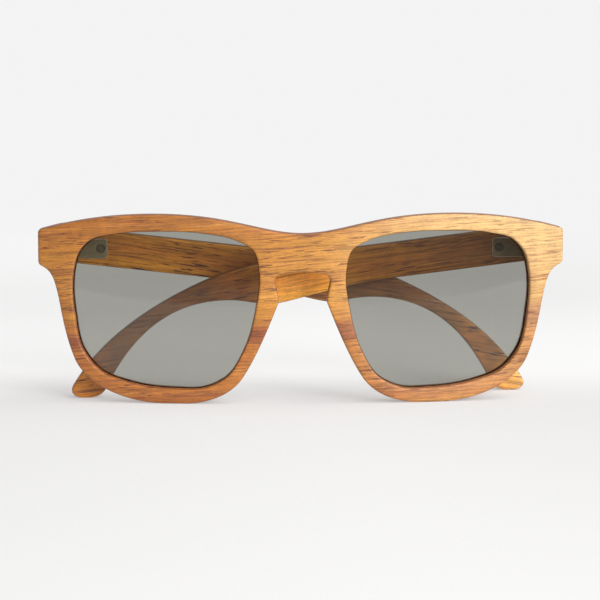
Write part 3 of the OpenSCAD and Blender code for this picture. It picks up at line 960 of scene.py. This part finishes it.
def wood(name, bands, shade_tones, slope, seed, wall_shade_colour, mirrored, contrast, fine, pale=None, calm=None):
    """Oiled wood with its grain along X.

    bands are colours at heights and shade_tones are factors at places along X that paint light and shade,
    both in millimetres.
    A mirrored wood takes distances from X = 0, so that two mirrored pieces have mirrored grain.
    fine is how much closer its streaks and lines lie.
    pale is the colour of a paler patch at the top of the +X side, and its share; the patch is partly paler
    wood and partly painted sheen.
    calm is a stretch of X with weaker grain: where it starts and ends, and how much weaker.
    """
    g = Graph(bpy.data.materials.new(name))
    spot = g.place_mm()
    x, y, z = g.split(spot)
    along = g.math("ABSOLUTE", x) if mirrored else x
    own = g.times(g.math("GREATER_THAN", x, 0), OTHER_SIDE_SHIFT) if mirrored else 0.0
    run = g.plus(g.plus(along, own), seed)

    # The grain wanders slowly up and down along the piece
    wander = g.minus(g.noise(g.stretch(g.join(run, y, z), WANDER_WAVES)), NOISE_MID)
    level = g.plus(z, g.times(wander, WANDER_RISE))
    level = g.plus(level, g.times(along, slope))
    grain = g.join(run, y, level)

    def layer(kind, where=grain, closer=1.0):
        (wave_x, wave_y, wave_z), move, detail, rough = GRAIN[kind]
        return g.noise(g.stretch(where, (wave_x, wave_y, wave_z * closer), move), detail, rough)

    broad = layer("broad")
    streak = layer("streak", closer=fine)
    line = g.math("ABSOLUTE", g.minus(layer("line", closer=fine), NOISE_MID))
    fibre = layer("fibre")
    hair = layer("hair")
    pore = layer("pore")
    speck = layer("speck")
    group = layer("group")
    figure = layer("figure", where=spot)

    # Colours of the bands, with edges that the streaks stir, and painted light and shade along the piece
    at = g.plus(level, g.times(g.minus(streak, NOISE_MID), BAND_STIR))
    colour = g.ramp(at, [(height, rgb(*shown)) for height, shown in bands])
    colour = g.mix(1.0, colour, g.ramp(x, shade_tones), "MULTIPLY")

    def weaker(part, share):
        """The strength of the grain, weaker by a share in a part of the piece."""
        return g.times(g.minus(1.0, g.times(part, share)), contrast)

    strength = contrast
    # The paler patch on the +X side: partly paler wood, partly painted sheen
    if pale:
        tint, share = pale
        sheen_patch = g.times(g.range(x, *PALE_SHEEN_SIDE), g.range(at, *PALE_SHEEN_HEIGHT, to_low=PALE_SHEEN_LEAST))
        colour = g.mix(g.times(sheen_patch, share), colour, rgb(*tint))
        strength = weaker(sheen_patch, PALE_SHEEN_CALM)
    if calm:
        start, end, share = calm
        after = g.range(x, start - CALM_RAMP, start + CALM_RAMP)
        before = g.range(x, end - CALM_RAMP, end + CALM_RAMP, to_low=1, to_high=0)
        strength = weaker(g.times(after, before), share)

    def blend(under, factor, tint):
        return g.mix(g.times(factor, strength, clamp=True), under, rgb(*tint))

    colour = blend(colour, g.range(broad, low=0.44, high=0.68, to_high=BROAD_SHARE), BROAD_TINT)
    colour = blend(colour, g.range(streak, low=0.44, high=0.26, to_high=STREAK_SHARE), STREAK_PALE)
    colour = blend(colour, g.range(streak, low=0.54, high=0.72, to_high=STREAK_SHARE), STREAK_DARK)
    thin = g.range(line, low=0.01, high=0.034, to_low=1, to_high=0)
    lines = g.times(thin, g.range(group, low=0.42, high=0.6, to_low=0.2))
    colour = blend(colour, g.times(lines, LINE_SHARE), LINE_TINT)

    # Light and dark of the fine layers
    light = g.range(
        fibre, low=0.3, high=0.7, to_low=1 - FIBRE_DARK * contrast, to_high=1 + FIBRE_LIGHT * contrast)
    hairs = g.range(hair, low=0.57, high=0.68, to_high=HAIR_DARK)
    light = g.minus(light, g.times(hairs, strength))
    figures = g.range(figure, low=0.3, high=0.7, to_low=-FIGURE_LIGHT, to_high=FIGURE_LIGHT)
    specks = g.range(speck, low=0.25, high=0.75, to_low=-SPECK_LIGHT, to_high=SPECK_LIGHT)
    light = g.plus(g.plus(light, figures), specks)
    lit = g.node("ShaderNodeVectorMath", operation="SCALE")
    g.set(lit.inputs[0], colour)
    g.set(lit.inputs["Scale"], light)
    colour = lit.outputs[0]

    # Short dark pores, and the walls that face sideways painted darker, partly as painted shade
    grouped = g.range(group, low=0.4, high=0.56, to_low=0.15)
    dash = g.times(g.range(pore, low=0.61, high=0.64), grouped)
    colour = blend(colour, g.times(dash, PORE_SHARE), PORE_TINT)
    colour = g.mix(g.times(g.mark("wall"), WALL_SHADE_SHARE), colour, rgb(*wall_shade_colour))

    depth = g.minus(g.times(fibre, FIBRE_DEPTH), dash)
    return g.surface(g.shader("ShaderNodeBsdfPrincipled", {
        "Base Color": colour,
        "Roughness": g.range(fibre, low=0.2, high=0.8, to_low=WOOD_ROUGH, to_high=FIBRE_ROUGH),
        "Specular IOR Level": WOOD_SPECULAR,
        "Normal": g.bump(depth, WOOD_RELIEF, WOOD_BUMP),
    }))


# The lens: colours of its middle, of the painted shade at its rim and of the light it lets through, its
# roughness, and its haze
LENS_IOR = 1.54
LENS_CLEAR = (0.6, 0.6, 0.57, 1)
LENS_RIM_SHADE = (0.33, 0.26, 0.2, 1)
LENS_LIGHT = (0.86, 0.86, 0.84, 1)
LENS_SMOOTH = 0.015
LENS_ROUGH = 0.035
HAZE_WAVES = (90, 90, 90)


def lens_tint():
    """A grey see-through lens that passes light straight on and reflects at its faces."""
    g = Graph(bpy.data.materials.new("lens_tint"))
    # Painted shade darkens the lens where it enters the groove
    colour = g.mix(g.range(g.mark("rim"), low=0.1, high=0.9), LENS_CLEAR, LENS_RIM_SHADE)
    clear = g.shader("ShaderNodeBsdfTransparent", {"Color": colour})
    light = g.shader("ShaderNodeBsdfTransparent", {"Color": LENS_LIGHT})
    haze = g.noise(g.stretch(g.place(), HAZE_WAVES), detail=3)
    rough = g.range(haze, low=0.3, high=0.7, to_low=LENS_SMOOTH, to_high=LENS_ROUGH)
    gloss = g.shader("ShaderNodeBsdfGlossy", {"Roughness": rough})
    # Light isn't bent in this thin lens, so both of its faces reflect as seen from the air
    inner = g.node("ShaderNodeNewGeometry").outputs["Backfacing"]
    outwards = g.minus(1.0, g.times(inner, 2.0))
    fresnel = g.node("ShaderNodeFresnel")
    g.set(fresnel.inputs["IOR"], g.math("POWER", LENS_IOR, outwards))
    seen = g.mix_shader(fresnel.outputs[0], clear, gloss)
    rays = g.node("ShaderNodeLightPath").outputs
    lit = g.math("MAXIMUM", rays["Is Shadow Ray"], rays["Is Diffuse Ray"])
    return g.surface(g.mix_shader(lit, seen, light))


# Steel: waves per millimetre of its blotches, brush lines and scratches, darkening factors (painted shade on
# the +X side, and a darker seat round the housing's screw), and relief in metres
BLOTCH_WAVES = (0.55, 0.55, 0.55)
BRUSH_WAVES = (0.8, 6, 14)
SCRATCH_WAVES = (5, 5, 0.7)
BLOTCH_SHARE = 0.6
BRUSH_SHARE = 0.4
PLUS_X_SHADE = (0.76, 0.69, 0.65, 1)
SCREW_SEAT_DARK = (0.12, 0.1, 0.08, 1)
SEAT_EDGE = (1.3, 1.6)
WORN_HIGHLIGHT_METAL = 0.4
STEEL_ROUGHER = 0.16
STEEL_RELIEF = 0.00001
STEEL_BUMP = 0.4


def steel(name, dark, pale, rough, shaded_plus_x=False, worn_highlight=False):
    """Steel with fine brush lines, soft blotches and small scratches.

    It may have painted shade on the +X side, darker there, and the edge steel, bright from wear and with a
    painted highlight, is darker round the housing's screw.
    """
    g = Graph(bpy.data.materials.new(name))
    spot = g.place_mm()
    x, _, z = g.split(spot)
    blotch = g.noise(g.stretch(spot, BLOTCH_WAVES), detail=4, rough=0.6)
    brush = g.noise(g.stretch(spot, BRUSH_WAVES), detail=2, rough=0.6)
    scratch = g.noise(g.stretch(spot, SCRATCH_WAVES), detail=1, rough=0.5)
    tone = g.plus(g.times(blotch, BLOTCH_SHARE), g.times(brush, BRUSH_SHARE))
    colour = g.mix(g.range(tone, low=0.2, high=0.8), rgb(*dark), rgb(*pale))
    # Painted shade: plates and screws on the +X side are darker
    if shaded_plus_x:
        darkened = g.mix(1.0, colour, PLUS_X_SHADE, "MULTIPLY")
        colour = g.mix(g.range(x, low=-1, high=1), colour, darkened)
    # Edge steel: darker round the housing's screw
    if worn_highlight:
        off_x = g.minus(g.math("ABSOLUTE", x), HINGE_X - HOUSING_SCREW_U)
        off_z = g.minus(z, HINGE_Z)
        off = g.math("SQRT", g.plus(g.math("POWER", off_x, 2.0), g.math("POWER", off_z, 2.0)))
        darkened = g.mix(1.0, colour, SCREW_SEAT_DARK, "MULTIPLY")
        colour = g.mix(g.range(off, *SEAT_EDGE), darkened, colour)
    relief = g.plus(brush, g.range(scratch, low=0.66, high=0.7))
    # The edge steel is less metallic, so that its pale colour shows as a painted highlight along the edges
    return g.surface(g.shader("ShaderNodeBsdfPrincipled", {
        "Base Color": colour,
        "Metallic": WORN_HIGHLIGHT_METAL if worn_highlight else 1.0,
        "Roughness": g.range(blotch, low=0.3, high=0.7, to_low=rough, to_high=rough + STEEL_ROUGHER),
        "Normal": g.bump(relief, STEEL_RELIEF, STEEL_BUMP),
    }))


# Stage, in metres

# Strengths of the white background, of the dark room that mirrors see, and of the soft light
WHITE = 0.897
ROOM = 0.3
SOFT_LIGHT = 0.36
SOFT_COLOUR = (1, 0.99, 0.975, 1)
PLAIN_COLOUR = (1, 1, 1, 1)

# The floor: its paper, and how far from the object it still shows shadows
FLOOR_HALF = 6.0
PAPER_WAVES = (900, 900, 900)
PAPER_DARK = (0.69, 0.69, 0.695, 1)
PAPER_PALE = (0.71, 0.71, 0.715, 1)
SHADOW_REACH = (0.16, 0.5)
SHADOW_SHARE = 0.65

# The table as mirrors see it: a bright top with a curved front edge, brighter close to the object
TABLE_GLOW = 1.5
TABLE_EDGE = -0.2
TABLE_EDGE_SOFT = 0.012
TABLE_CLOSE = (TABLE_EDGE + 0.02, -0.05)
TABLE_CLOSE_GLOW = 0.9
TABLE_CURVE = 2.3
TABLE_CURVE_END = 0.05

# The photograph's camera in degrees and millimetres, or in metres where the name ends in M; the lamps' aim
CAMERA_YAW = 2.418
CAMERA_RISE = 8
CAMERA_ROLL = 0.044
CAMERA_AIM = (-0.797, -MID_Y, 28.355)
CAMERA_LENS = 139.04
CAMERA_SENSOR = 36
CAMERA_AWAY_M = 0.62
CAMERA_CLIP_M = 0.01
LAMP_AIM = (0, 0, 0.03)


def build_floor():
    """A pale floor that shows white to the camera and keeps the object's shadow."""
    mesh = bpy.data.meshes.new("floor")
    corners = [(-1, -1), (1, -1), (1, 1), (-1, 1)]
    mesh.from_pydata([(a * FLOOR_HALF, b * FLOOR_HALF, 0) for a, b in corners], [], [(0, 1, 2, 3)])
    floor = bpy.data.objects.new("floor", mesh)
    bpy.context.scene.collection.objects.link(floor)

    g = Graph(bpy.data.materials.new("floor_paper"))
    spot = g.place()
    x, y, _ = g.split(spot)
    grain = g.noise(g.stretch(spot, PAPER_WAVES))
    colour = g.mix(g.range(grain, low=0.3, high=0.7), PAPER_DARK, PAPER_PALE)
    paper = g.shader("ShaderNodeBsdfDiffuse", {"Color": colour})

    # Its own light, which evens out the lamps: stronger behind the object and weaker towards +X
    far = g.node("ShaderNodeVectorMath", operation="LENGTH")
    g.set(far.inputs[0], spot)
    near = g.range(far.outputs["Value"], *SHADOW_REACH, to_low=1, to_high=0)
    lift = g.range(y, low=-0.02, high=0.05, to_low=0.06, to_high=0.47)
    lift = g.minus(lift, g.range(y, low=0.1, high=0.22, to_high=0.16))
    lift = g.minus(lift, g.range(x, low=0.0, high=0.1, to_high=0.15))
    level = g.plus(WHITE, g.times(near, lift))

    # What mirrors see of it: the table in front of the object, and the room beyond the table's edge
    curve = g.times(g.math("MINIMUM", g.times(x, x), TABLE_CURVE_END), TABLE_CURVE)
    low, high = TABLE_EDGE - TABLE_EDGE_SOFT, TABLE_EDGE + TABLE_EDGE_SOFT
    table = g.range(g.plus(y, curve), low, high, ROOM, TABLE_GLOW)
    table = g.plus(table, g.range(y, *TABLE_CLOSE, to_high=TABLE_CLOSE_GLOW))
    mirror = g.node("ShaderNodeLightPath").outputs["Is Glossy Ray"]
    plain = g.shader("ShaderNodeEmission", {
        "Color": PLAIN_COLOUR,
        "Strength": g.times(level, g.pick(mirror, 1.0, table)),
    })
    shown = g.mix_shader(g.times(near, SHADOW_SHARE), plain, paper)
    mesh.materials.append(g.surface(g.mix_shader(g.seen_ray(), paper, shown)))


def build_world():
    """White where the camera or glass sees it, a dark room in front for mirrors, and soft light elsewhere."""
    g = Graph(bpy.data.worlds.new("studio"))
    soft = g.shader("ShaderNodeBackground", {"Color": SOFT_COLOUR, "Strength": SOFT_LIGHT})
    _, y, _ = g.split(g.node("ShaderNodeTexCoord").outputs["Generated"])
    room = g.range(y, low=-0.5, high=0.2, to_low=ROOM, to_high=WHITE, kind="LINEAR")
    mirror = g.node("ShaderNodeLightPath").outputs["Is Glossy Ray"]
    white = g.shader("ShaderNodeBackground", {
        "Color": PLAIN_COLOUR,
        "Strength": g.pick(mirror, WHITE, room),
    })
    bpy.context.scene.world = g.surface(g.mix_shader(g.seen_ray(), soft, white))


def add_lamp(name, at, width, height, power, colour):
    """A soft lamp that points at the object."""
    data = bpy.data.lights.new(name, "AREA")
    data.shape = "RECTANGLE"
    data.size = width
    data.size_y = height
    data.energy = power
    data.color = colour
    lamp = bpy.data.objects.new(name, data)
    lamp.location = at
    lamp.rotation_euler = (Vector(LAMP_AIM) - Vector(at)).to_track_quat("-Z", "Y").to_euler()
    bpy.context.scene.collection.objects.link(lamp)


def add_camera():
    """The photograph's camera, fitted to the front's outline."""
    yaw, rise, roll = math.radians(CAMERA_YAW), math.radians(CAMERA_RISE), math.radians(CAMERA_ROLL)
    forward = Vector((math.sin(yaw) * math.cos(rise), math.cos(yaw) * math.cos(rise), -math.sin(rise)))
    level = Vector((math.cos(yaw), -math.sin(yaw), 0))
    above = level.cross(forward)
    right = level * math.cos(roll) + above * math.sin(roll)
    up = above * math.cos(roll) - level * math.sin(roll)
    data = bpy.data.cameras.new("camera")
    data.lens = CAMERA_LENS
    data.sensor_width = CAMERA_SENSOR
    data.clip_start = CAMERA_CLIP_M
    camera = bpy.data.objects.new("camera", data)
    turn = Matrix((right, up, -forward)).transposed().to_4x4()
    camera.matrix_world = Matrix.Translation(Vector(CAMERA_AIM) * MM - forward * CAMERA_AWAY_M) @ turn
    bpy.context.scene.collection.objects.link(camera)
    bpy.context.scene.camera = camera


# The object

# Colours of the wood at heights, as seen on screen, and factors at places along X that paint light and shade
# into it
FRONT_BANDS = [
    (-8, (186, 120, 44)), (-2, (190, 122, 44)), (3, (166, 96, 32)), (9, (188, 120, 44)),
    (17, (182, 112, 42)), (19, (142, 74, 36)), (21, (144, 76, 36)), (23, (188, 124, 48)),
    (28, (200, 138, 54)), (36, (194, 134, 52)), (44, (192, 132, 48)), (48, (182, 118, 40)),
    (58, (170, 106, 36)),
]
# The front's factors: painted shade darkens the -X side, away from the key lamp, and painted sheen pales the
# +X side; some of the warmer -X tone is the wood's own
FRONT_SHADE_AND_SHEEN = [
    (-71, (0.74, 0.64, 0.34)), (-20, (0.86, 0.79, 0.46)), (20, (0.93, 0.92, 0.76)),
    (40, (0.98, 1, 0.82)), (71, (0.76, 0.78, 0.86)),
]
TEMPLE_BANDS = [
    (0, (198, 130, 40)), (20, (210, 140, 42)), (30, (220, 150, 46)), (38, (222, 152, 46)),
    (43, (206, 130, 38)), (48, (220, 152, 46)), (56, (194, 122, 36)),
]
# The temples' factors are painted light and shade: brighter where the nose gap lets light in, darker where
# the lenses, the front and the other temple shade them, and paler with a painted sheen towards the +X tip
TEMPLE_LIGHT_AND_SHADE = [
    (-130, (0.92, 0.78, 0.16)), (-121, (0.8, 0.66, 0.2)), (-117, (0.44, 0.38, 0.36)),
    (-92, (0.47, 0.41, 0.36)), (-83, (1.12, 0.88, 0.52)), (-76, (1.15, 1.18, 1.08)),
    (-54, (1.12, 1.15, 1.02)), (-46, (0.78, 0.7, 0.54)), (-20, (0.54, 0.48, 0.38)),
    (-2, (0.5, 0.44, 0.37)), (2, (1.2, 1.14, 0.84)), (32, (1.5, 1.44, 1)),
    (50, (1.1, 1.04, 0.8)), (60, (0.6, 0.58, 0.5)), (68, (0.36, 0.32, 0.24)),
    (90, (0.46, 0.43, 0.48)), (108, (0.72, 0.68, 0.8)), (116, (1.28, 1.14, 1.5)),
    (128, (1.1, 1.5, 4)),
]

# The front's paler patch is partly paler wood and partly painted sheen
front_wood = wood(
    "front_wood", FRONT_BANDS, FRONT_SHADE_AND_SHEEN, slope=-0.055, seed=40, wall_shade_colour=(108, 60, 34),
    mirrored=False, contrast=1.05, fine=1.0, pale=((226, 192, 134), 0.55))
temple_wood = wood(
    "temple_wood", TEMPLE_BANDS, TEMPLE_LIGHT_AND_SHADE, slope=0.15, seed=300, wall_shade_colour=(110, 66, 38),
    mirrored=True, contrast=1.2, fine=1.5, calm=(-79, -51, 0.6))
tint = lens_tint()
hinge_steel = steel("hinge_steel", dark=(158, 146, 116), pale=(198, 186, 156), rough=0.46, shaded_plus_x=True)
# Pale edge steel for softened edges: bright from wear and with a painted highlight
worn_highlight_steel = steel("worn_highlight_steel", dark=(205, 196, 176), pale=(236, 228, 210), rough=0.3, worn_highlight=True)
screw_steel = steel("screw_steel", dark=(122, 114, 94), pale=(158, 150, 128), rough=0.42, shaded_plus_x=True)
spring_steel = steel("spring_steel", dark=(150, 150, 150), pale=(205, 205, 205), rough=0.2)

# Finishes of the nodes that stay, and the edge roundings of those that are softened
FINISHES = {
    "front_leaf": hinge_steel, "slider": hinge_steel, "housing": hinge_steel,
    "leaf_screws": screw_steel, "hinge_screw": screw_steel, "housing_screw": screw_steel,
    "spring_stop": screw_steel,
}
SOFTENED = {"front_leaf": METAL_EDGE, "slider": METAL_EDGE, "housing": PLATE_EDGE}

front = build_front()
front.data.materials.append(front_wood)
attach(front, "front")
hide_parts("front_frame")

for side, name in ((1, "left"), (-1, "right")):
    lens = build_lens(side)
    lens.data.materials.append(tint)
    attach(lens, "front")
    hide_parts("lens_" + name)

    temple = build_temple(side)
    temple.data.materials.append(temple_wood)
    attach(temple, name + "_temple")
    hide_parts("temple_" + name)

    coil = build_spring(side)
    coil.data.materials.append(spring_steel)
    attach(coil, name + "_slider")
    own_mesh(coil)
    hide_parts("spring_" + name)

    for part, finish in FINISHES.items():
        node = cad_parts[part + "_" + name]
        node.data.materials.clear()
        node.data.materials.append(finish)
        if part in SOFTENED:
            soften(node, worn_highlight_steel, SOFTENED[part])


# Camera, light and stage

bpy.context.scene.view_settings.view_transform = "Standard"
add_camera()
build_floor()
build_world()
add_lamp("key", at=(0.54, -0.78, 0.39), width=0.42, height=0.42, power=8.0, colour=(1, 0.99, 0.97))
add_lamp("sky", at=(0.8, -0.3, 1.22), width=1.4, height=1.4, power=17.0, colour=(1, 0.99, 0.98))
add_lamp("strip", at=(0.1, -1.2, 0.3), width=1.2, height=0.15, power=2.6, colour=(1, 0.99, 0.98))
